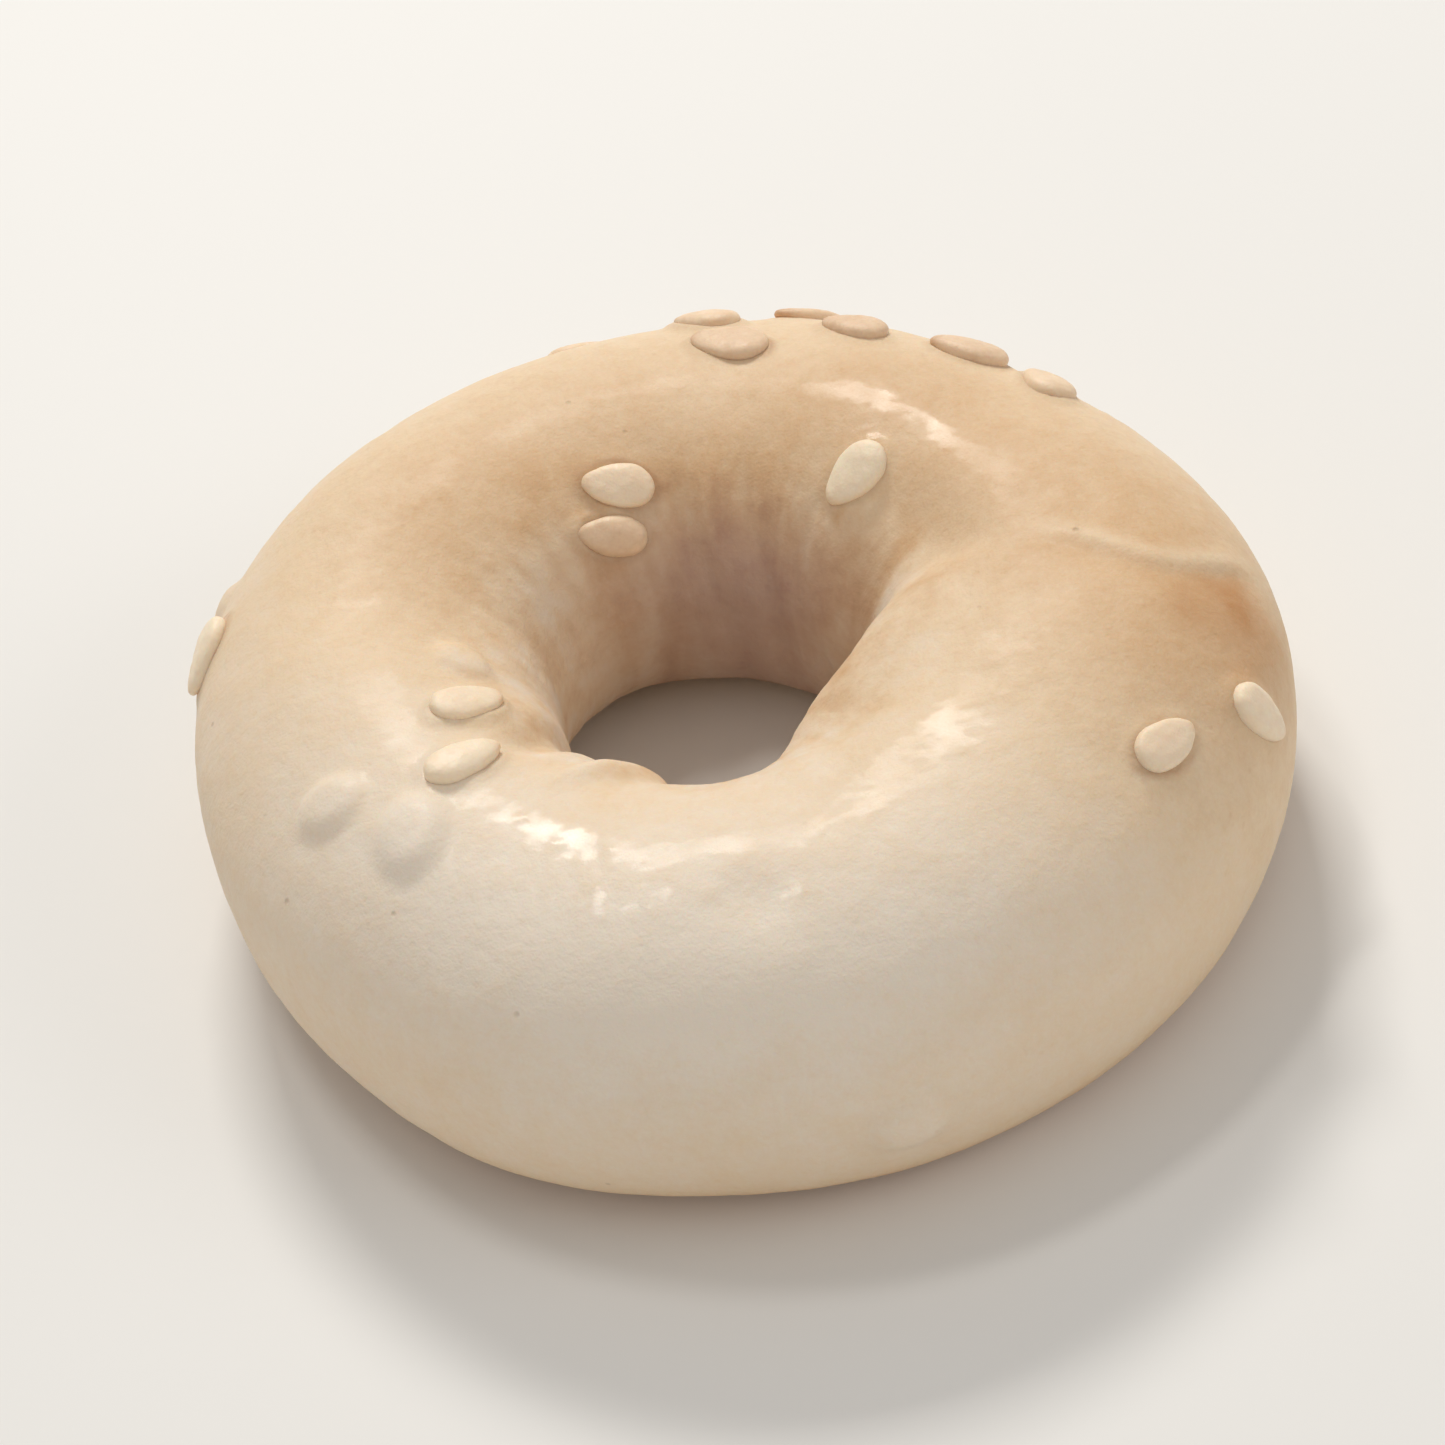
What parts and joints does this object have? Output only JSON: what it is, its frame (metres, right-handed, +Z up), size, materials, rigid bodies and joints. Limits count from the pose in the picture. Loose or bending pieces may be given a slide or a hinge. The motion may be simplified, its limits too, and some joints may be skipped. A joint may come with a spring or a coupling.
{
  "type": "small sesame bread ring",
  "caption": "Small ring of sweet bread: a hand-rolled dough rope joined at its ends, flat underneath, with a satin golden crust and scattered sesame seeds.",
  "frame": {"origin": "middle of the ring's bounding box seen from above, on the flat underside that it rests on", "axes": "+Z up, through the hole; the joint of the rope's two ends is at +X, and -Y is the side that faces the viewer"},
  "size_m": [0.0452, 0.0456, 0.0139],
  "materials": {
    "crust": "egg-washed baked crust, satin, pale cream flanks, golden tan crest and inner wall, browner underside",
    "sesame": "hulled sesame seed, ivory, lightly toasted at the tip"
  },
  "bodies": {
    "root": {"bread_ring": "crust"}
  },
  "joints": []
}
